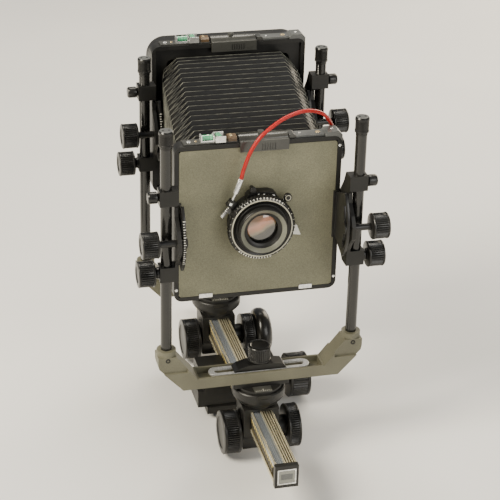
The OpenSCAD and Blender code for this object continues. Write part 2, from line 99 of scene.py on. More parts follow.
def coords(nt, scale=(1, 1, 1)):
    tc = nt.nodes.new("ShaderNodeTexCoord")
    mp = nt.nodes.new("ShaderNodeMapping")
    mp.inputs["Scale"].default_value = scale
    nt.links.new(tc.outputs["Object"], mp.inputs["Vector"])
    return mp.outputs["Vector"]


def noise(nt, vec, scale, detail=3.0, rough=0.5):
    n = nt.nodes.new("ShaderNodeTexNoise")
    n.inputs["Scale"].default_value = scale
    n.inputs["Detail"].default_value = detail
    n.inputs["Roughness"].default_value = rough
    nt.links.new(vec, n.inputs["Vector"])
    return n.outputs["Fac"]


def ramp(nt, fac, stops):
    r = nt.nodes.new("ShaderNodeValToRGB")
    els = r.color_ramp.elements
    while len(els) < len(stops):
        els.new(0.5)
    for e, (p, c) in zip(els, stops):
        e.position = p
        e.color = (*c, 1) if len(c) == 3 else c
    nt.links.new(fac, r.inputs["Fac"])
    return r.outputs["Color"]


def mapr(nt, fac, a, b, c, d):
    r = nt.nodes.new("ShaderNodeMapRange")
    for i, v in zip(("From Min", "From Max", "To Min", "To Max"), (a, b, c, d)):
        r.inputs[i].default_value = v
    nt.links.new(fac, r.inputs["Value"])
    return r.outputs["Result"]


def bump(nt, b, height, strength, dist, prev=None):
    n = nt.nodes.new("ShaderNodeBump")
    n.inputs["Strength"].default_value = strength
    n.inputs["Distance"].default_value = dist
    nt.links.new(height, n.inputs["Height"])
    if prev is not None:
        nt.links.new(prev, n.inputs["Normal"])
    nt.links.new(n.outputs["Normal"], b.inputs["Normal"])
    return n.outputs["Normal"]


def math_node(nt, op, a, b=None, c=None):
    n = nt.nodes.new("ShaderNodeMath")
    n.operation = op
    for i, v in enumerate((a, b, c)):
        if v is None:
            continue
        if isinstance(v, (int, float)):
            n.inputs[i].default_value = v
        else:
            nt.links.new(v, n.inputs[i])
    return n.outputs[0]


def mix_rgb(nt, fac, a, b, mode="MIX"):
    n = nt.nodes.new("ShaderNodeMix")
    n.data_type = "RGBA"
    n.blend_type = mode
    if isinstance(fac, (int, float)):
        n.inputs[0].default_value = fac
    else:
        nt.links.new(fac, n.inputs[0])
    for i, v in ((6, a), (7, b)):
        if isinstance(v, tuple):
            n.inputs[i].default_value = (*v, 1)
        else:
            nt.links.new(v, n.inputs[i])
    return n.outputs[2]


def paint(name, lo, hi, rough=(0.35, 0.5), grain=900, grain_h=0.00006, strength=0.35, speck=None, coat=0.0, detail=4.0, spec=0.5):
    """Baked or crinkle enamel: two close tones, a fine grain in the bump, small pale specks where it is worn."""
    m, nt, b = new_mat(name, coat=coat, spec=spec)
    v = coords(nt)
    broad = noise(nt, v, 28, 3.0)
    fine = noise(nt, v, grain, detail, 0.6)
    base = ramp(nt, broad, [(0.3, lo), (0.72, hi)])
    shade = ramp(nt, fine, [(0.32, (0.72, 0.72, 0.72)), (0.68, (1.28, 1.28, 1.28))])
    col = mix_rgb(nt, 0.8, base, shade, "MULTIPLY")
    if speck:
        s = noise(nt, v, grain * 0.55, 2.0, 0.75)
        mask = mapr(nt, s, 0.66, 0.78, 0.0, 0.55)
        col = mix_rgb(nt, mask, col, speck)
    nt.links.new(col, b.inputs["Base Color"])
    nt.links.new(mapr(nt, broad, 0.3, 0.7, rough[0], rough[1]), b.inputs["Roughness"])
    bump(nt, b, fine, strength, grain_h)
    return m


M = {}
M["black"] = paint("black_satin", (0.006, 0.006, 0.0055), (0.014, 0.0135, 0.012), (0.26, 0.38), 1400, 0.00002, 0.25, coat=0.08, spec=0.35)
M["black_soft"] = paint("black_anodised", (0.008, 0.008, 0.0075), (0.017, 0.0165, 0.0145), (0.32, 0.46), 1800, 0.00002, 0.25, spec=0.34)
M["olive"] = paint("olive_enamel", (0.105, 0.100, 0.066), (0.150, 0.143, 0.095), (0.42, 0.56), 1500, 0.00006, 0.5, speck=(0.32, 0.30, 0.22))
M["board"] = paint("board_crinkle", (0.165, 0.160, 0.104), (0.220, 0.213, 0.140), (0.58, 0.70), 1150, 0.00010, 0.6, speck=(0.34, 0.33, 0.25), detail=6.0, spec=0.4)
M["post"] = paint("post_black", (0.007, 0.007, 0.0065), (0.015, 0.0145, 0.013), (0.16, 0.25), 2200, 0.00001, 0.2, coat=0.3, spec=0.4)
M["knob"] = paint("knob_black", (0.006, 0.006, 0.0055), (0.013, 0.0125, 0.0115), (0.28, 0.38), 1600, 0.00002, 0.25, coat=0.15, spec=0.35)
M["rubber"] = paint("knob_rubber", (0.006, 0.006, 0.0055), (0.014, 0.0135, 0.0125), (0.24, 0.34), 2000, 0.00004, 0.4, spec=0.45)
M["white"] = paint("white_enamel", (0.62, 0.61, 0.55), (0.74, 0.73, 0.66), (0.3, 0.4), 1500, 0.00002, 0.2)
M["cream"] = paint("cream_ring", (0.42, 0.40, 0.31), (0.55, 0.53, 0.42), (0.34, 0.46), 1800, 0.00002, 0.2)
M["plate_grey"] = paint("plate_grey", (0.20, 0.20, 0.17), (0.30, 0.30, 0.26), (0.3, 0.42), 900, 0.00003, 0.25)
M["latch_grey"] = paint("latch_grey", (0.028, 0.028, 0.025), (0.055, 0.055, 0.048), (0.24, 0.36), 1500, 0.00003, 0.3, coat=0.25)
M["strip_grey"] = paint("strip_grey", (0.085, 0.088, 0.085), (0.130, 0.134, 0.128), (0.28, 0.40), 1300, 0.00003, 0.3, coat=0.2)
M["bevel_green"] = paint("lens_bevel", (0.120, 0.122, 0.092), (0.185, 0.186, 0.142), (0.3, 0.42), 1700, 0.00002, 0.2, coat=0.15)
M["brown"] = paint("brown_block", (0.075, 0.045, 0.022), (0.120, 0.075, 0.036), (0.3, 0.42), 900, 0.00003, 0.3)


def steel(name, col, rough=(0.18, 0.32), stretch=(40, 40, 1400), axis_scale=1.0, tint=None):
    m, nt, b = new_mat(name, metal=0.72)
    v = coords(nt, stretch)
    streak = noise(nt, v, axis_scale, 3.0, 0.6)
    v2 = coords(nt)
    blot = noise(nt, v2, 60, 3.0)
    dark = tuple(c * 0.72 for c in col)
    c = ramp(nt, streak, [(0.3, dark), (0.7, col)])
    if tint:
        c = mix_rgb(nt, mapr(nt, blot, 0.45, 0.7, 0.0, 0.5), c, tint)
    nt.links.new(c, b.inputs["Base Color"])
    nt.links.new(mapr(nt, blot, 0.3, 0.7, rough[0], rough[1]), b.inputs["Roughness"])
    bump(nt, b, streak, 0.12, 0.00002)
    return m


M["steel"] = steel("bright_plate", (0.92, 0.92, 0.90), (0.26, 0.40), (900, 60, 60))
M["chrome"] = steel("chrome_parts", (0.94, 0.94, 0.92), (0.14, 0.28), (300, 300, 300), tint=(0.62, 0.60, 0.55))
M["brass"] = steel("warm_screw", (0.80, 0.62, 0.34), (0.2, 0.35), (400, 400, 400))


def rail_mat():
    """Drawn aluminium: long streaks along the rail; painted shade darkens the floor of the right top groove and the
    inner channel, and the left groove is a dull grey-blue.
    """
    m, nt, b = new_mat("rail_aluminium", metal=0.75)
    v = coords(nt, (900, 7, 900))
    streak = noise(nt, v, 1.0, 3.0, 0.6)
    tc = nt.nodes.new("ShaderNodeTexCoord")
    sep = nt.nodes.new("ShaderNodeSeparateXYZ")
    nt.links.new(tc.outputs["Object"], sep.inputs["Vector"])
    x, z = sep.outputs["X"], sep.outputs["Z"]
    col = ramp(nt, streak, [(0.3, (0.78, 0.70, 0.46)), (0.7, (1.0, 0.93, 0.68))])
    low = math_node(nt, "LESS_THAN", z, 0.0532)
    top = math_node(nt, "GREATER_THAN", z, 0.0505)
    groove = math_node(nt, "MULTIPLY", low, top)
    left = math_node(nt, "MULTIPLY", groove, math_node(nt, "LESS_THAN", x, -0.0010))
    right = math_node(nt, "MULTIPLY", groove, math_node(nt, "GREATER_THAN", x, -0.0010))
    inner = math_node(nt, "MULTIPLY", math_node(nt, "LESS_THAN", math_node(nt, "ABSOLUTE", x), 0.0109), math_node(nt, "LESS_THAN", z, 0.0505))
    col = mix_rgb(nt, left, col, (0.42, 0.46, 0.50))
    # painted shade: the floor of the right groove darkened
    col = mix_rgb(nt, right, col, (0.09, 0.065, 0.03))
    # painted shade: the inner channel below the grooves darkened
    col = mix_rgb(nt, inner, col, (0.34, 0.28, 0.13))
    nt.links.new(col, b.inputs["Base Color"])
    nt.links.new(mapr(nt, streak, 0.3, 0.7, 0.16, 0.34), b.inputs["Roughness"])
    bump(nt, b, streak, 0.15, 0.00003)
    return m


M["rail"] = rail_mat()


def rack_mat():
    """Scale strip: yellowed ground with fine dark divisions along the rail."""
    m, nt, b = new_mat("scale_strip", rough=0.5)
    tc = nt.nodes.new("ShaderNodeTexCoord")
    sep = nt.nodes.new("ShaderNodeSeparateXYZ")
    nt.links.new(tc.outputs["Object"], sep.inputs["Vector"])
    y, z = sep.outputs["Y"], sep.outputs["Z"]
    fr = math_node(nt, "FRACT", math_node(nt, "MULTIPLY", y, 1000 / 6.0))
    tick = math_node(nt, "LESS_THAN", fr, 0.3)
    up = math_node(nt, "GREATER_THAN", z, 0.041)
    mask = math_node(nt, "MULTIPLY", tick, up)
    g = noise(nt, coords(nt), 500, 3.0)
    base = ramp(nt, g, [(0.3, (0.030, 0.026, 0.018)), (0.7, (0.070, 0.060, 0.040))])
    col = mix_rgb(nt, mask, base, (0.62, 0.50, 0.18))
    nt.links.new(col, b.inputs["Base Color"])
    bump(nt, b, g, 0.2, 0.00003)
    return m


M["rack"] = rack_mat()


def leather(name, lo, hi, rough):
    m, nt, b = new_mat(name, sheen=0.0, spec=0.26)
    v = coords(nt)
    vor = nt.nodes.new("ShaderNodeTexVoronoi")
    vor.inputs["Scale"].default_value = 900
    nt.links.new(v, vor.inputs["Vector"])
    g = noise(nt, v, 120, 4.0)
    nt.links.new(ramp(nt, g, [(0.3, lo), (0.7, hi)]), b.inputs["Base Color"])
    nt.links.new(mapr(nt, g, 0.3, 0.7, rough[0], rough[1]), b.inputs["Roughness"])
    bump(nt, b, vor.outputs["Distance"], 0.3, 0.00008)
    return m


M["bellows"] = leather("bellows_leather", (0.0045, 0.0045, 0.0045), (0.010, 0.0095, 0.009), (0.34, 0.5))
# pale edge material: painted highlights along the bellows' fold edges
M["ridge"] = leather("bellows_painted_highlight_edge", (0.05, 0.052, 0.046), (0.24, 0.24, 0.20), (0.35, 0.5))


def cable_mat():
    m, nt, b = new_mat("red_sheath", rough=0.34, coat=0.15, coat_rough=0.15, spec=0.35)
    v = coords(nt)
    w = nt.nodes.new("ShaderNodeTexWave")
    w.bands_direction = "DIAGONAL"
    w.inputs["Scale"].default_value = 900
    w.inputs["Distortion"].default_value = 1.0
    nt.links.new(v, w.inputs["Vector"])
    g = noise(nt, v, 300, 3.0)
    c = ramp(nt, w.outputs["Fac"], [(0.2, (0.26, 0.004, 0.003)), (0.8, (0.50, 0.010, 0.006))])
    c = mix_rgb(nt, mapr(nt, g, 0.4, 0.7, 0.0, 0.4), c, (0.58, 0.018, 0.010))
    nt.links.new(c, b.inputs["Base Color"])
    bump(nt, b, w.outputs["Fac"], 0.3, 0.00008)
    return m


M["cable"] = cable_mat()


def glass_like(name, stops, scale, rough, coat=1.0, alpha=1.0, bands=None):
    m, nt, b = new_mat(name, rough=rough, coat=coat, coat_rough=0.02, spec=0.8)
    g = noise(nt, coords(nt, bands or (1, 1, 1)), scale, 2.0)
    nt.links.new(ramp(nt, g, stops), b.inputs["Base Color"])
    bump(nt, b, g, 0.02, 0.00002)
    return m


M["vial"] = glass_like("vial_green", [(0.3, (0.05, 0.30, 0.14)), (0.7, (0.16, 0.52, 0.28))], 200, 0.12)
M["bubble"] = glass_like("vial_bubble", [(0.3, (0.62, 0.80, 0.60)), (0.7, (0.80, 0.92, 0.76))], 200, 0.1)
def ground_mat():
    """Ground sheet with a fine ruled grid, 10 mm apart."""
    m, nt, b = new_mat("ground_glass_sheet", rough=0.5, coat=0.2)
    tc = nt.nodes.new("ShaderNodeTexCoord")
    sep = nt.nodes.new("ShaderNodeSeparateXYZ")
    nt.links.new(tc.outputs["Object"], sep.inputs["Vector"])
    g = noise(nt, coords(nt), 1500, 3.0)
    base = ramp(nt, g, [(0.3, (0.36, 0.39, 0.38)), (0.7, (0.47, 0.50, 0.49))])
    lines = None
    for ax, off in (("X", 0.016), ("Z", 0.290)):
        fr = math_node(nt, "FRACT", math_node(nt, "MULTIPLY", math_node(nt, "SUBTRACT", sep.outputs[ax], off - 0.0002), 100.0))
        li = math_node(nt, "LESS_THAN", fr, 0.04)
        lines = li if lines is None else math_node(nt, "MAXIMUM", lines, li)
    nt.links.new(mix_rgb(nt, lines, base, (0.10, 0.10, 0.10)), b.inputs["Base Color"])
    bump(nt, b, g, 0.25, 0.00003)
    return m


M["gg"] = ground_mat()


def painted_reflection_lens_mat():
    """Coated front element with a painted reflection: a warm patch high on one side fading into a dark barrel."""
    m, nt, b = new_mat("lens_painted_reflection", rough=0.06, coat=1.0, coat_rough=0.02, spec=0.9)
    tc = nt.nodes.new("ShaderNodeTexCoord")
    sep = nt.nodes.new("ShaderNodeSeparateXYZ")
    nt.links.new(tc.outputs["Object"], sep.inputs["Vector"])
    # height along a slanted line across the glass, which places the painted reflection
    h = math_node(nt, "ADD", math_node(nt, "MULTIPLY", sep.outputs["X"], -0.55), math_node(nt, "SUBTRACT", sep.outputs["Z"], 0.2585))
    g = noise(nt, coords(nt), 120, 2.0)
    h = math_node(nt, "ADD", h, math_node(nt, "MULTIPLY", math_node(nt, "SUBTRACT", g, 0.5), 0.006))
    f = mapr(nt, h, -0.011, 0.013, 0.0, 1.0)
    col = ramp(nt, f, [(0.0, (0.006, 0.006, 0.006)), (0.30, (0.030, 0.026, 0.018)), (0.42, (0.22, 0.17, 0.10)), (0.60, (0.42, 0.19, 0.10)), (0.80, (0.52, 0.25, 0.16)), (1.0, (0.25, 0.16, 0.10))])
    nt.links.new(col, b.inputs["Base Color"])
    bump(nt, b, g, 0.02, 0.00002)
    return m


M["lens"] = painted_reflection_lens_mat()


def assign(node, mat):
    me = N[node].data
    me.materials.clear()
    me.materials.append(M[mat])


DEFAULT = {
    "clamp_body": "black_soft", "clamp_jaw": "black_soft", "clamp_knob": "knob", "rail": "rail", "rail_rack": "rack", "rail_end_caps": "black",
    "bearer": "black_soft", "focus_knob": "knob", "lock_knob": "knob", "swivel": "black_soft", "shift_knob": "knob", "u_bracket": "olive",
    "shift_plate": "steel", "posts": "post", "post_caps": "knob", "carriage": "black_soft", "clip_knobs": "knob", "rise_knobs": "knob", "tilt_knobs": "knob",
    "frame": "black_soft", "quadrants": "black", "top_bar": "latch_grey", "vials": "vial", "latch": "latch_grey",
    "lens_board": "board", "board_clips": "chrome", "shutter": "black_soft", "speed_ring": "black", "lens_cells": "black_soft", "lens_glass": "lens",
    "release_lever": "chrome", "cocking_lever": "black", "aperture_pointer": "white", "cable_ferrule": "chrome", "cable_sheath": "cable",
    "cable_grip": "chrome", "cable_plunger": "chrome", "bellows": "bellows", "back_frame": "black_soft", "glass_frame": "black_soft",
    "ground_glass": "gg", "back_springs": "steel",
}
for n in N:
    key = n
    for p in ("front_", "rear_"):
        if n.startswith(p):
            key = n[len(p):]
    assign(n, DEFAULT[key])
EDGES = {"u_bracket": 0.9, "frame": 0.5, "carriage": 0.8, "bearer": 0.9, "swivel": 0.4, "clamp_body": 1.2, "clamp_jaw": 1.2, "rail_end_caps": 0.5,
         "back_frame": 0.8, "glass_frame": 0.7, "latch": 0.35, "post_caps": 0.3, "board_clips": 0.3, "lens_board": 0.4, "shift_plate": 0.3,
         "quadrants": 0.3, "release_lever": 0.5, "aperture_pointer": 0.3, "clip_knobs": 0.3, "rail": 0.12}
for n, o in N.items():
    key = n.split("_", 1)[1] if n.startswith(("front_", "rear_")) else n
    w = o.modifiers.new("weld", "WELD")
    w.merge_threshold = 0.00001
    if key in EDGES:
        bv = o.modifiers.new("bevel", "BEVEL")
        bv.width = EDGES[key] / 1000
        bv.segments = 3
        bv.limit_method = "ANGLE"
        bv.angle_limit = math.radians(38)
        bv.harden_normals = False


# ------------------------------------------------------------------ mesh tools
def link(bm, name, mats, body=None, smooth=35.0, bevel=0.0, segs=2):
    """Turns a bmesh given in millimetres into an object in metres that rides on a body."""
    bmesh.ops.scale(bm, vec=(0.001,) * 3, verts=bm.verts)
    bmesh.ops.recalc_face_normals(bm, faces=bm.faces)
    me = bpy.data.meshes.new(name)
    bm.to_mesh(me)
    bm.free()
    for k in mats:
        me.materials.append(M[k])
    o = bpy.data.objects.new(name, me)
    bpy.context.scene.collection.objects.link(o)
    for p in me.polygons:
        p.use_smooth = True
    if bevel:
        bv = o.modifiers.new("bevel", "BEVEL")
        bv.width = bevel / 1000
        bv.segments = segs
        bv.limit_method = "ANGLE"
        bv.angle_limit = math.radians(40)
    me.set_sharp_from_angle(angle=math.radians(smooth))
    if body:
        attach(o, body)
    return o


def add_box(bm, a, b, mat=0, m=None):
    vs = [bm.verts.new((x, y, z)) for x in (a[0], b[0]) for y in (a[1], b[1]) for z in (a[2], b[2])]
    if m is not None:
        for v in vs:
            v.co = m @ v.co
    for f in ((0, 1, 3, 2), (4, 6, 7, 5), (0, 4, 5, 1), (2, 3, 7, 6), (0, 2, 6, 4), (1, 5, 7, 3)):
        fc = bm.faces.new([vs[i] for i in f])
        fc.material_index = mat
    return vs


def axis_matrix(origin, axis):
    """Maps local +Z onto axis at origin."""
    q = Vector((0, 0, 1)).rotation_difference(Vector(axis))
    return Matrix.Translation(origin) @ q.to_matrix().to_4x4()


def add_lathe(bm, prof, m, seg=64, mats=None, ribs=None):
    """prof: list of (radius, height). ribs: {profile index: (count, depth)} pushes every other vertex inwards there."""
    rings = []
    for i, (r, h) in enumerate(prof):
        ring = []
        if r < 1e-6:
            ring = [bm.verts.new(m @ Vector((0, 0, h)))] * seg
        else:
            for k in range(seg):
                rr = r
                if ribs and i in ribs:
                    n, d = ribs[i]
                    ph = (k * n / seg) % 1.0
                    rr = r - d * (0.5 - 0.5 * math.cos(2 * math.pi * ph)) ** 2
                a = 2 * math.pi * k / seg
                ring.append(bm.verts.new(m @ Vector((rr * math.cos(a), rr * math.sin(a), h))))
        rings.append(ring)
    for i in range(len(prof) - 1):
        a, b = rings[i], rings[i + 1]
        for k in range(seg):
            k2 = (k + 1) % seg
            vs = []
            for v in (a[k], a[k2], b[k2], b[k]):
                if v not in vs:
                    vs.append(v)
            if len(vs) >= 3:
                f = bm.faces.new(vs)
                if mats:
                    f.material_index = mats[i]
    return rings


def add_tube(bm, p, q, r, mat=0, seg=24, caps=True):
    p, q = Vector(p), Vector(q)
    m = axis_matrix(p, (q - p).normalized())
    L = (q - p).length
    prof = [(0, 0), (r, 0), (r, L), (0, L)] if caps else [(r, 0), (r, L)]
    add_lathe(bm, prof, m, seg, [mat] * (len(prof) - 1))


def extrude_outline(bm, pts, axis, lo, hi, mat=0):
    """Closed outline in the plane across axis ('x','y' or 'z'), from lo to hi."""
    def at(p, t):
        return {"x": (t, p[0], p[1]), "y": (p[0], t, p[1]), "z": (p[0], p[1], t)}[axis]
    a = [bm.verts.new(at(p, lo)) for p in pts]
    b = [bm.verts.new(at(p, hi)) for p in pts]
    n = len(pts)
    for i in range(n):
        f = bm.faces.new((a[i], a[(i + 1) % n], b[(i + 1) % n], b[i]))
        f.material_index = mat
    for f in (bm.faces.new(a), bm.faces.new(list(reversed(b)))):
        f.material_index = mat


# ------------------------------------------------------------------ camera
def camera():
    f, az, el, roll = 1641.05, -14.32, 26.63, 1.40
    loc = Vector((-0.37779, -1.53215, 0.97681))
    a, e, r = (math.radians(v) for v in (az, el, roll))
    back = Vector((math.sin(a) * math.cos(e), -math.cos(a) * math.cos(e), math.sin(e)))
    right = (-back).cross(Vector((0, 0, 1))).normalized()
    up = right.cross(-back)
    r2 = right * math.cos(r) + up * math.sin(r)
    u2 = -right * math.sin(r) + up * math.cos(r)
    cam = bpy.data.cameras.new("camera")
    cam.sensor_width = 36
    cam.lens = f * 36 / 500
    cam.clip_start, cam.clip_end = 0.05, 20
    o = bpy.data.objects.new("camera", cam)
    bpy.context.scene.collection.objects.link(o)
    o.matrix_world = Matrix.Translation(loc) @ Matrix((r2, u2, back)).transposed().to_4x4()
    bpy.context.scene.camera = o


camera()

# ------------------------------------------------------------------ cable release
CABLE = [(-21, -93, 312), (-19, -94, 322), (-13, -95, 340), (-3, -94, 355), (12, -91, 366),
         (25, -88, 372), (40, -84, 375), (54, -79, 373), (67, -72, 366), (76, -65, 355),
         (82, -58, 343), (86, -52, 328), (89, -47, 310), (90, -44, 290), (90, -43, 272)]


def catmull(p, m):
    p = [Vector(v) for v in p]
    out = []
    for i in range(len(p) - 1):
        a = p[i - 1] if i else 2 * p[0] - p[1]
        b, c = p[i], p[i + 1]
        d = p[i + 2] if i < len(p) - 2 else 2 * p[i + 1] - p[i]
        for k in range(m):
            t = k / m
            out.append(0.5 * ((2 * b) + (c - a) * t + (2 * a - 5 * b + 4 * c - d) * t * t + (3 * b - a - 3 * c + d) * t ** 3))
    out.append(p[-1])
    return out


def sweep(bm, pts, r, seg, mat=0, caps=True, wave=0.0, pitch=1.0):
    """Round tube along points; wave gives the sheath a faint helical rib."""
    n = len(pts)
    side = None
    s = 0.0
    rings = []
    for i, p in enumerate(pts):
        t = (pts[min(i + 1, n - 1)] - pts[max(i - 1, 0)]).normalized()
        if side is None:
            side = t.cross(Vector((0, 1, 0.2))).normalized()
        side = (side - side.dot(t) * t).normalized()
        b = t.cross(side)
        if i:
            s += (p - pts[i - 1]).length
        ring = []
        for k in range(seg):
            a = 2 * math.pi * k / seg
            rr = r - wave * (0.5 + 0.5 * math.cos(a * 2 + 2 * math.pi * s / pitch))
            ring.append(bm.verts.new(p + rr * (math.cos(a) * side + math.sin(a) * b)))
        rings.append(ring)
    for i in range(n - 1):
        for k in range(seg):
            f = bm.faces.new((rings[i][k], rings[i][(k + 1) % seg], rings[i + 1][(k + 1) % seg], rings[i + 1][k]))
            f.material_index = mat
    if caps:
        bm.faces.new(list(reversed(rings[0]))).material_index = mat
        bm.faces.new(rings[-1]).material_index = mat


path = catmull(CABLE, 8)
bm = bmesh.new()
sweep(bm, path, 2.0, 20, wave=0.12, pitch=3.0)
sheath = link(bm, "cable_sheath_visual", ["cable"], "front_frame", 60)
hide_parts("cable_sheath")


# ------------------------------------------------------------------ knobs
def knob(name, nodes, body, origin, axis, r, h0, h1, ribs, depth, rim=1.2, hub=0.62, dish=1.2, stem=None, extra=None, slotname="knob_black", seg_per=6, mats=("knob", "rubber")):
    """Ribbed knob: smooth rims at both ends, straight ribs between them, a dished face with a low hub."""
    bm = bmesh.new()
    m = axis_matrix(Vector(origin), axis)
    seg = ribs * seg_per
    L = h1 - h0
    prof = [(0, h0), (r - 1.6, h0), (r - 0.5, h0 + 0.35), (r, h0 + 1.0), (r, h0 + rim + 0.6), (r - 0.55, h0 + rim + 1.0),
            (r - 0.30, h0 + rim + 1.5), (r - 0.30, h1 - rim - 1.5), (r - 0.55, h1 - rim - 1.0), (r, h1 - rim - 0.6), (r, h1 - 1.0), (r - 0.5, h1 - 0.35), (r - 1.6, h1),
            (r * hub + 0.8, h1), (r * hub, h1 - dish * 0.8), (r * hub - 0.8, h1 - dish), (0, h1 - dish)]
    rb = {6: (ribs, depth), 7: (ribs, depth)}
    add_lathe(bm, prof, m, seg, [0] * 5 + [1, 1, 1] + [0] * 8, rb)
    if stem:
        for (sr, a, b) in stem:
            add_lathe(bm, [(0, a), (sr, a), (sr, b), (0, b)], m, 32, [0, 0, 0])
    if extra:
        extra(bm, m)
    return bm


def finish_knob(bm, name, body, nodes, mats=("knob", "rubber")):
    o = link(bm, name, list(mats), body, 32)
    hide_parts(*nodes)
    return o


AX = 22.5
for s, (dx, y, dz) in STD.items():
    # focusing knob with its shaft and roller
    bm = knob("", None, None, (0, y, AX), (-1, 0, 0), 23.5, 21, 40, 60, 1.2, rim=2.2, hub=0.72, dish=1.2)
    add_tube(bm, (-21.5, y, AX), (36, y, AX), 4, 0)
    add_tube(bm, (-7, y, AX), (7, y, AX), 7.4, 1, 48)
    finish_knob(bm, s + "_focus_knob_visual", s + "_focus_knob", [s + "_focus_knob"])
    bm = knob("", None, None, (0, y, AX), (1, 0, 0), 23.5, 30, 44, 60, 1.2, rim=1.6, hub=0.64, dish=1.2)
    if s == "rear":
        add_lathe(bm, [(0, 43), (15, 43), (22, 45), (26, 47), (28, 49.5), (28.5, 52), (28.5, 55), (27.6, 58), (25.4, 61), (21, 63.6), (14, 65.3), (6, 66), (0, 66)],
                  axis_matrix(Vector((0, y, AX)), (1, 0, 0)), 96, [0] * 12)
    finish_knob(bm, s + "_lock_knob_visual", s + "_lock_knob", [s + "_lock_knob"])
    # shift knob
    bm = knob("", None, None, (0, y, 106), (0, 0, 1), 12, 2, 19.5, 34, 0.8, rim=1.4, hub=0.74, dish=0.9)
    add_lathe(bm, [(0, 0), (7, 0), (7, 2.2), (0, 2.2)], axis_matrix(Vector((0, y, 106)), (0, 0, 1)), 48, [0, 0, 0])
    add_tube(bm, (0, y, 96.5), (0, y, 106.5), 3, 0)
    finish_knob(bm, s + "_shift_knob_visual", s + "_shift_knob", [s + "_shift_knob"])
    # rise and tilt knobs in pairs
    bm = bmesh.new()
    parts = []
    for side in (-1, 1):
        k = knob("", None, None, (dx, y, 220 + dz), (side, 0, 0), 13.5, 110.5, 128, 36, 0.95, rim=1.3, hub=0.6, dish=1.0)
        add_lathe(k, [(0, 106.2), (6, 106.2), (6, 108.2), (5, 109), (6, 109.8), (6, 110.8), (0, 110.8)], axis_matrix(Vector((dx, y, 220 + dz)), (side, 0, 0)), 40, [0] * 6)
        add_tube(k, (dx + side * 104.5, y, 220 + dz), (dx + side * 107, y, 220 + dz), 3, 0)
        me = bpy.data.meshes.new("tmp")
        k.to_mesh(me)
        k.free()
        bm.from_mesh(me)
        bpy.data.meshes.remove(me)
    finish_knob(bm, s + "_rise_knobs_visual", s + "_rise_knobs", [s + "_rise_knobs"])
    bm = bmesh.new()
    for side in (-1, 1):
        k = knob("", None, None, (dx, y - 14.3, ZC + dz), (side, 0, 0), 13.5, 108.9, 126.5, 36, 0.95, rim=1.3, hub=0.6, dish=1.0)
        add_lathe(k, [(0, 81), (3.5, 81), (3.5, 109.2), (0, 109.2)], axis_matrix(Vector((dx, y - 14.3, ZC + dz)), (side, 0, 0)), 40, [0] * 3)
        add_lathe(k, [(0, 80.4), (5.4, 80.4), (6, 80.9), (6, 81.8), (0, 81.8)], axis_matrix(Vector((dx, y - 14.3, ZC + dz)), (side, 0, 0)), 40, [0] * 4)
        me = bpy.data.meshes.new("tmp")
        k.to_mesh(me)
        k.free()
        bm.from_mesh(me)
        bpy.data.meshes.remove(me)
    finish_knob(bm, s + "_tilt_knobs_visual", s + "_tilt_knobs", [s + "_tilt_knobs"])
bm = knob("", None, None, (0, 0, 22), (1, 0, 0), 25, 58, 82, 44, 0.9, rim=2.6, hub=0.66, dish=1.2)
add_lathe(bm, [(0, 44.1), (10, 44.1), (11, 45), (11, 57), (9.5, 58.4), (0, 58.4)], axis_matrix(Vector((0, 0, 22)), (1, 0, 0)), 48, [0] * 5)
add_tube(bm, (20, 0, 22), (44.5, 0, 22), 5, 0)
finish_knob(bm, "clamp_knob_visual", "clamp_knob", ["clamp_knob"])


# ------------------------------------------------------------------ bellows
PLEATS = [3, 2, 1, 2, 2, 2, 2, 1, 2, 3]
B0, B1 = YF + 38.0, YR + 26.0
PITCH = (B1 - B0) / sum(PLEATS)


def bellows_ring(y, ridge):
    t = (y - B0) / (B1 - B0)
    cx, cz = SX * t, ZC + SZ * t
    # folds of the top and bottom lie half a pleat away from those of the sides, joined by mitres at the corners
    e = 4.0 * max(0.0, 1.0 - min(t, 1.0 - t) / 0.12)
    h, v, c = (67.0, 76.0 - e, 9.0) if ridge else (76.0 - e, 67.0, 9.0)
    pts = [(-h, v - c), (-h + c, v), (h - c, v), (h, v - c), (h, -v + c), (h - c, -v), (-h + c, -v), (-h, -v + c)]
    return [Vector((cx + p[0], y, cz + p[1])) for p in pts]


def add_edge_bead(bm, p, q, r, mat):
    d = (q - p).normalized()
    a = d.cross(Vector((0.31, 0.87, 0.37))).normalized()
    b = d.cross(a)
    lo = [bm.verts.new(p + r * (math.cos(t) * a + math.sin(t) * b)) for t in (0, 2.094, 4.189)]
    hi = [bm.verts.new(q + r * (math.cos(t) * a + math.sin(t) * b)) for t in (0, 2.094, 4.189)]
    for i in range(3):
        bm.faces.new((lo[i], lo[(i + 1) % 3], hi[(i + 1) % 3], hi[i])).material_index = mat
    bm.faces.new(lo).material_index = mat
    bm.faces.new(list(reversed(hi))).material_index = mat


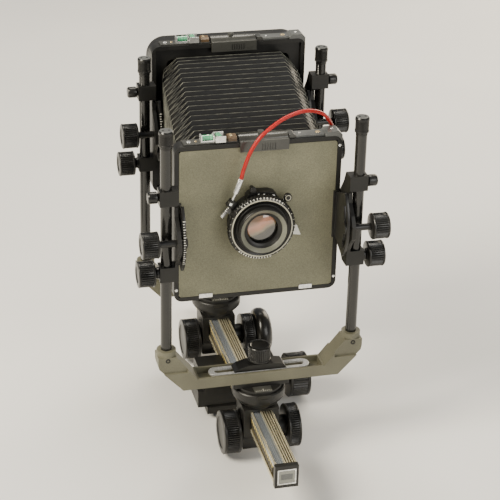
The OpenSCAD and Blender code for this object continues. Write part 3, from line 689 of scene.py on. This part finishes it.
start = 0
for i, n in enumerate(PLEATS):
    y0 = B0 + start * PITCH
    start += n
    bm = bmesh.new()
    rings = []
    for k in range(2 * n + 1):
        y = y0 + k * PITCH / 2
        rings.append([bm.verts.new(v) for v in bellows_ring(y, k % 2 == 1)])
    for k in range(2 * n):
        a, b = rings[k], rings[k + 1]
        if k % 2 == 0:
            a, b = b, a
        # a is the ring whose top and bottom are folded out
        for j, (p, q) in {0: (1, 0), 2: (2, 3), 4: (5, 4), 6: (6, 7)}.items():
            j2 = (j + 1) % 8
            other = j if p == j2 else j2
            bm.faces.new((a[other], a[p], b[q]) if other != q else (a[q], a[p], b[q]))
            bm.faces.new((a[p], b[p], b[q]))
        for j in (1, 3, 5, 7):
            bm.faces.new((a[j], a[(j + 1) % 8], b[(j + 1) % 8], b[j]))
    bmesh.ops.recalc_face_normals(bm, faces=bm.faces)
    # thickness of the cloth, folded inwards
    geom = bmesh.ops.solidify(bm, geom=list(bm.faces), thickness=0.7)
    # pale beads along the fold edges are painted highlights on the creases
    for k in range(2 * n + 1):
        y = y0 + k * PITCH / 2
        rp = bellows_ring(y, k % 2 == 1)
        if k % 2 == 1:
            for j in (1, 5):
                add_edge_bead(bm, rp[j], rp[j + 1], 0.33, 1)
            for kk in (k - 1, k + 1):
                vp = bellows_ring(y0 + kk * PITCH / 2, False)
                for p, q in ((1, 0), (2, 3), (5, 4), (6, 7)):
                    add_edge_bead(bm, rp[p], vp[q], 0.30, 1)
        elif 0 < k < 2 * n:
            add_edge_bead(bm, rp[3], rp[4], 0.45, 1)
            add_edge_bead(bm, rp[7], rp[0], 0.45, 1)
        else:
            inward = 0.45 if k == 0 else -0.45
            for p, q in ((3, 4), (7, 0)):
                add_edge_bead(bm, rp[p] + Vector((0, inward, 0)), rp[q] + Vector((0, inward, 0)), 0.35, 1)
    o = link(bm, f"bellows_{i}", ["bellows", "ridge"], None, 20)
    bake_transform(o)
    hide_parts("bellows")


# ------------------------------------------------------------------ lens
LENS_Y = -79.5
LM = Matrix.Translation(Vector((0, LENS_Y, ZC))) @ Matrix.Rotation(math.radians(90), 4, "X")


def lens_lathe(bm, prof, mats, seg=96, ribs=None, at=(0, 0)):
    add_lathe(bm, prof, LM @ Matrix.Translation(Vector((at[0], at[1], 0))), seg, mats, ribs)


def lens_box(bm, a, b, mat, ang=0.0):
    add_box(bm, a, b, mat, LM @ Matrix.Rotation(math.radians(ang), 4, "Z"))


# speed ring: grip teeth on the outside, a pale ring and engraved strokes on the bevelled front
bm = bmesh.new()
lens_lathe(bm, [(27.2, 13.3), (34.2, 13.3), (35.0, 14.0), (35.0, 17.2), (34.2, 18.2), (33.6, 19.2), (31.6, 20.2), (31.5, 20.75), (30.4, 20.75), (30.3, 20.2), (28.4, 19.4), (27.3, 19.2), (27.2, 13.3)],
           [0, 0, 0, 0, 0, 0, 1, 1, 1, 0, 0, 0], 360, {2: (60, 1.1), 3: (60, 1.1)})
for a in list(range(52, 132, 6)) + list(range(226, 290, 5)):
    lens_box(bm, (32.0, -0.42, 19.0), (33.9, 0.42, 20.15), 2, a)
for a in range(0, 360, 12):
    lens_box(bm, (32.6, -0.16, 19.0), (33.5, 0.16, 19.85), 2, a)
o = link(bm, "speed_ring_visual", ["black", "cream", "white"], "speed_ring", 30)
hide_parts("speed_ring")

# lens barrels: stepped front bevel, fine inner rings, rear cell
bm = bmesh.new()
front = [(15.7, 2.2), (20, 2.2), (20, 20.8), (24.2, 20.8), (24.9, 21.8), (24.9, 24.2), (24.5, 24.6), (24.5, 25.2), (24.9, 25.6), (24.9, 27.4), (24.4, 28.1), (23.6, 28.1), (22.8, 27.4), (19.6, 25.4), (19.3, 24.9),
         (18.9, 24.7), (18.6, 24.3), (18.2, 24.1), (17.9, 23.7), (17.4, 23.5), (17.0, 23.1), (16.4, 22.9), (15.8, 22.6), (15.7, 2.2)]
fm = [0] * 11 + [1, 1, 0] + [0] * 9
lens_lathe(bm, front, fm, 128)
lens_lathe(bm, [(14.2, -24), (21.2, -24), (22, -23.2), (22, -4.5), (20, -4.5), (20, 1.4), (14.2, 1.4), (14.2, -24)], [0] * 7, 96)
o = link(bm, "lens_cells_visual", ["black_soft", "bevel_green"], "front_frame", 30)
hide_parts("lens_cells")

# shutter housing with its head, button and screws
bm = bmesh.new()
lens_lathe(bm, [(20.05, 0.05), (31.4, 0.05), (32, 0.7), (32, 9.0), (31.4, 9.4), (31.4, 10.0), (32, 10.4), (32, 12.3), (31.3, 13), (26.9, 13), (26.9, 19.4), (26.4, 20), (20.05, 20), (20.05, 0.05)], [0] * 13, 128)
head = [(-15, 24), (-14.2, 32.6), (-11.5, 35.6), (-6, 37), (9, 36.4), (14.5, 34.4), (18, 30), (18, 24)]
lo = [bm.verts.new(LM @ Vector((x, y, 2.1))) for x, y in head]
hi = [bm.verts.new(LM @ Vector((x * 0.96, 24 + (y - 24) * 0.94, 11))) for x, y in head]
for i in range(8):
    bm.faces.new((lo[i], lo[(i + 1) % 8], hi[(i + 1) % 8], hi[i]))
bm.faces.new(lo)
bm.faces.new(list(reversed(hi)))
lens_box(bm, (28, -4, 6.5), (43, 4, 12.5), 0, 140)
lens_lathe(bm, [(0, 4), (2.2, 4), (2.2, 9.0), (3.3, 9.6), (3.4, 12.0), (2.9, 12.6), (0, 12.8)], [0, 0, 0, 0, 0, 0], 36, at=(-8.2, 39.2))
for x, y, r in ((-11, 27.5, 1.3), (13.5, 30.5, 1.5), (3.5, 33.0, 1.1), (-2.5, 33.6, 0.9)):
    lens_lathe(bm, [(0, 10.5), (r, 10.5), (r, 11.3), (r * 0.7, 11.6), (0, 11.6)], [2] * 4, 24, at=(x, y))
for k in range(7):
    lens_box(bm, (-4 + 2.3 * k, 27.2 + 0.25 * k, 10.9), (-3.3 + 2.3 * k, 29.4 + 0.25 * k, 11.2), 1)
o = link(bm, "shutter_visual", ["black_soft", "cream", "chrome"], "front_frame", 32, 0.25)
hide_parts("shutter")

# cocking lever: arm with a turned button and a pale ring on its face
bm = bmesh.new()
lens_box(bm, (32.4, -2.1, 8.1), (37.5, 2.1, 10.9), 0, 44)
cxy = (39.5 * math.cos(math.radians(44)), 39.5 * math.sin(math.radians(44)))
lens_lathe(bm, [(0, 7.6), (3.8, 7.6), (4.2, 8.0), (4.2, 11.3), (3.8, 11.8), (3.0, 11.95), (2.2, 11.95), (2.0, 11.5), (0, 11.4)], [0, 0, 0, 0, 0, 1, 0, 0], 40, at=cxy)
o = link(bm, "cocking_lever_visual", ["black", "cream"], "cocking_lever", 32, 0.2)
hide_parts("cocking_lever")


# ------------------------------------------------------------------ top of the frames
def screw(bm, x, y, z, r, mat, slot_mat=None):
    """Round-headed screw standing on a level face."""
    add_lathe(bm, [(0, 0), (r, 0), (r, 0.35), (r * 0.82, 0.75), (r * 0.3, 0.9), (0, 0.9)], Matrix.Translation(Vector((x, y, z))), 24, [mat] * 5)


for s, (dx, y, dz) in STD.items():
    zt = ZC + 86 + dz
    y0 = y + 22
    bm = bmesh.new()
    X = lambda v: v + dx
    add_box(bm, (X(-76), y0 + 2.2, zt + 0.02), (X(-21.2), y0 + 14.8, zt + 1.45), 0)
    # bright cradles of the two levels
    for x in (-58.4, -45.9):
        add_box(bm, (X(x), y0 + 3.7, zt + 1.4), (X(x + 1.35), y0 + 12.3, zt + 8.0), 1)
    add_box(bm, (X(-57.2), y0 + 3.7, zt + 1.4), (X(-45.8), y0 + 4.6, zt + 3.2), 1)
    for yy in (0.9, 13.3):
        add_box(bm, (X(-44.2), y0 + yy, zt + 1.4), (X(-33.7), y0 + yy + 1.3, zt + 8.0), 1)
    add_box(bm, (X(-44.2), y0 + 1.0, zt + 1.4), (X(-42.9), y0 + 14.4, zt + 3.4), 1)
    # dark brown block with a gilt tab
    extrude_outline(bm, [(y0 + 2.2, zt + 1.4), (y0 + 13.8, zt + 1.4), (y0 + 13.8, zt + 4.6), (y0 + 11.5, zt + 6.1), (y0 + 5, zt + 6.1), (y0 + 2.2, zt + 4.4)], "x", X(-31), X(-22.2), 2)
    add_box(bm, (X(-29.2), y0 + 5.5, zt + 5.6), (X(-26.4), y0 + 11, zt + 6.6), 3)
    # stepped dark piece and grey strip
    extrude_outline(bm, [(X(31.1), zt + 0.02), (X(37.9), zt + 0.02), (X(37.9), zt + 2.9), (X(36), zt + 4.0), (X(31.1), zt + 4.0)], "y", y0 + 2.1, y0 + 14.9, 0)
    add_box(bm, (X(38.1), y0 + 2.2, zt + 0.02), (X(67.9), y0 + 14.8, zt + 2.5), 4)
    screw(bm, X(62), y0 + 8.5, zt + 2.4, 2.5, 3)
    screw(bm, X(43), y0 + 8.5, zt + 2.4, 1.2, 1)
    screw(bm, X(-70), y0 + 8.5, zt + 1.4, 2.2, 1)
    screw(bm, X(-63), y0 + 8.5, zt + 1.4, 1.3, 3)
    # corner block
    pts = [(X(68), zt), (X(68), zt + 2.5), (X(71), zt + 5), (X(82), zt + 5), (X(86), zt + 1), (X(86), zt - 9)]
    c = (X(77), zt - 9)
    pts += [(c[0] + 9 * math.cos(math.radians(t)), c[1] + 9 * math.sin(math.radians(t))) for t in range(0, 91, 10)]
    extrude_outline(bm, pts, "y", y0 + 0.02, y0 + 15.98, 4)
    screw(bm, X(76.5), y0 + 8, zt + 4.9, 1.6, 1)
    o = link(bm, s + "_top_bar_visual", ["latch_grey", "chrome", "brown", "brass", "strip_grey"], s + "_frame", 30, 0.3)
    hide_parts(s + "_top_bar")

    # levels: liquid with a bubble and two dark bands
    bm = bmesh.new()
    m = axis_matrix(Vector((X(-56.9), y0 + 8, zt + 4.8)), (1, 0, 0))
    add_lathe(bm, [(0, 0), (3.05, 0), (3.05, 3.4), (3.05, 3.6), (3.05, 7.0), (3.05, 7.2), (3.05, 10.8), (0, 10.8)], m, 40, [0, 0, 1, 0, 1, 0, 0])
    m = axis_matrix(Vector((X(-39), y0 + 2.5, zt + 4.8)), (0, 1, 0))
    add_lathe(bm, [(0, 0), (3.05, 0), (3.05, 3.2), (3.05, 3.5), (3.05, 6.6), (3.05, 6.9), (3.05, 10.5), (0, 10.5)], m, 40, [0, 0, 1, 0, 1, 0, 0])
    add_lathe(bm, [(0, 0), (1.1, 0.0), (1.2, 0.35), (0.8, 0.6), (0, 0.65)], axis_matrix(Vector((X(-50.6), y0 + 7.6, zt + 7.55)), (0, 0, 1)), 20, [2] * 4)
    o = link(bm, s + "_vials_visual", ["vial", "black", "bubble"], s + "_frame", 40)
    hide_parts(s + "_vials")

    # strokes of the tilt scale on the left quadrant
    bm = bmesh.new()
    for side in (-1,):
        for k in range(-9, 10):
            a = math.radians(180 + k * 3.0)
            w = 1.25 if k % 3 == 0 else 0.75
            mm = Matrix.Translation(Vector((dx, y + 30, ZC + dz))) @ Matrix.Rotation(a, 4, "X")
            lo_, hi_ = (82.2, 84.8) if side > 0 else (-84.8, -82.2)
            if k % 3:
                lo_, hi_ = (83.2, 84.8) if side > 0 else (-84.8, -83.2)
            add_box(bm, (lo_, 50.5, -0.35), (hi_, 50.95, 0.35), 0, mm)
    o = link(bm, s + "_tilt_scale", ["white"], s + "_frame", 30)

    # index plate let into the turntable's rim
    bm = bmesh.new()
    add_box(bm, (-7.9, y - 27.6, 75.1), (7.9, y - 26.5, 79.6), 1)
    add_box(bm, (-9.5, y - 24.2, 81.9), (9.5, y - 13.4, 83.0), 0)
    add_box(bm, (-0.25, y - 23.8, 82.9), (0.25, y - 19.0, 83.1), 2)
    for k in (-8, -6, -4, -2, 2, 4, 6, 8):
        add_box(bm, (k - 0.15, y - 23.8, 82.9), (k + 0.15, y - 21.4, 83.1), 2)
    o = link(bm, s + "_swing_index", ["latch_grey", "black", "white"], s + "_swivel", 30, 0.2)

    # knurled caps of the posts with a pale face and two spanner holes
    bm = bmesh.new()
    for side in (-1, 1):
        m = Matrix.Translation(Vector((dx + side * 98.5, y, 354)))
        add_lathe(bm, [(0, 0), (6, 0), (6, 2), (7.2, 3), (7.2, 4.6), (6.9, 5.0), (6.9, 14.6), (7.2, 15), (7.2, 17.5), (6.3, 18.8), (5.2, 19.0), (0, 19.0)], m, 180,
                  [0] * 9 + [1, 1], {5: (36, 0.45), 6: (36, 0.45)})
        for t in (-1, 1):
            add_lathe(bm, [(0, 18.9), (1.15, 18.9), (1.15, 19.12), (0, 19.12)], m @ Matrix.Translation(Vector((t * 3, 0, 0))), 20, [0] * 3)
    o = link(bm, s + "_post_caps_visual", ["knob", "strip_grey"], s + "_u", 30)
    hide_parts(s + "_post_caps")

    # screws in the bracket's sockets
    bm = bmesh.new()
    ux = dx
    for side in (-1, 1):
        m = axis_matrix(Vector((ux + side * 98.5, y - 9.8, 122.5)), (0, -1, 0))
        add_lathe(bm, [(0, -0.6), (2.6, -0.6), (2.6, 0.3), (2.2, 0.7), (1.3, 0.7), (1.3, 0.1), (0, 0.1)], m, 28, [0] * 6)
    o = link(bm, s + "_socket_screws", ["black"], s + "_u", 30)

# end plates of the rail: framed grey plates with a raised border
bm = bmesh.new()
for yy, d in ((-223.0, -1), (234.0, 1)):
    m = axis_matrix(Vector((0, yy, 42)), (0, d, 0))
    def ring_box(x0, z0, x1, z1, t0, t1, mat):
        a, b = sorted((yy + d * t0, yy + d * t1))
        add_box(bm, (x0, a, z0), (x1, b, z1), mat)
    ring_box(-9.6, 33.4, 9.6, 50.8, -0.4, 0.35, 0)
    for q in ((-9.6, 33.4, 9.6, 34.6), (-9.6, 49.6, 9.6, 50.8), (-9.6, 34.6, -8.4, 49.6), (8.4, 34.6, 9.6, 49.6)):
        ring_box(*q, 0.2, 0.8, 1)
    ring_box(-6.0, 39.0, 6.0, 45.5, 0.2, 0.55, 2)
o = link(bm, "rail_end_plates", ["plate_grey", "chrome", "strip_grey"], "rail", 30, 0.15)

# small screws of the front board and frame corner
bm = bmesh.new()
for x, z in ((83.6, 334.0), (83.6, 186.0), (-83.6, 186.0)):
    m = axis_matrix(Vector((x, -79.5, z)), (0, -1, 0))
    add_lathe(bm, [(0, -0.4), (1.7, -0.4), (1.7, 0.2), (1.3, 0.6), (0, 0.7)], m, 24, [0] * 4)
o = link(bm, "board_screws", ["chrome"], "front_frame", 30)


# ------------------------------------------------------------------ floor and light
def stage():
    lo = cad_box[0]
    bm = bmesh.new()
    bmesh.ops.create_grid(bm, x_segments=1, y_segments=1, size=3.0)
    me = bpy.data.meshes.new("floor")
    bm.to_mesh(me)
    bm.free()
    o = bpy.data.objects.new("floor", me)
    bpy.context.scene.collection.objects.link(o)
    o.location = (0, 0, lo[2] - 0.0005)
    m, nt, b = new_mat("floor_pale", rough=0.75)
    g = noise(nt, coords(nt), 3.0, 2.0)
    nt.links.new(ramp(nt, g, [(0.3, (0.78, 0.77, 0.74)), (0.7, (0.82, 0.81, 0.78))]), b.inputs["Base Color"])
    me.materials.append(m)

    w = bpy.data.worlds.new("world")
    bpy.context.scene.world = w
    w.use_nodes = True
    w.node_tree.nodes["Background"].inputs[0].default_value = (0.95, 0.96, 1.0, 1)
    w.node_tree.nodes["Background"].inputs[1].default_value = 0.30

    def area(name, loc, target, size, power, col=(1, 1, 1)):
        l = bpy.data.lights.new(name, "AREA")
        l.energy = power
        l.color = col
        l.shape = "RECTANGLE"
        l.size, l.size_y = size
        ob = bpy.data.objects.new(name, l)
        bpy.context.scene.collection.objects.link(ob)
        ob.location = loc
        ob.rotation_euler = (Vector(target) - Vector(loc)).to_track_quat("-Z", "Y").to_euler()

    c = (0, 0, 0.22)
    area("key", (-1.7, -0.5, 1.7), c, (0.9, 0.9), 84, (1.0, 0.92, 0.76))
    area("fill", (1.2, -2.0, 1.1), c, (1.5, 1.5), 30, (1.0, 0.98, 0.93))
    area("top", (0.2, 0.9, 2.2), c, (1.4, 0.8), 40, (1.0, 0.94, 0.82))
    area("rim", (1.4, 1.4, 0.9), c, (0.8, 1.4), 28, (1.0, 0.88, 0.68))


stage()
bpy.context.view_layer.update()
import json
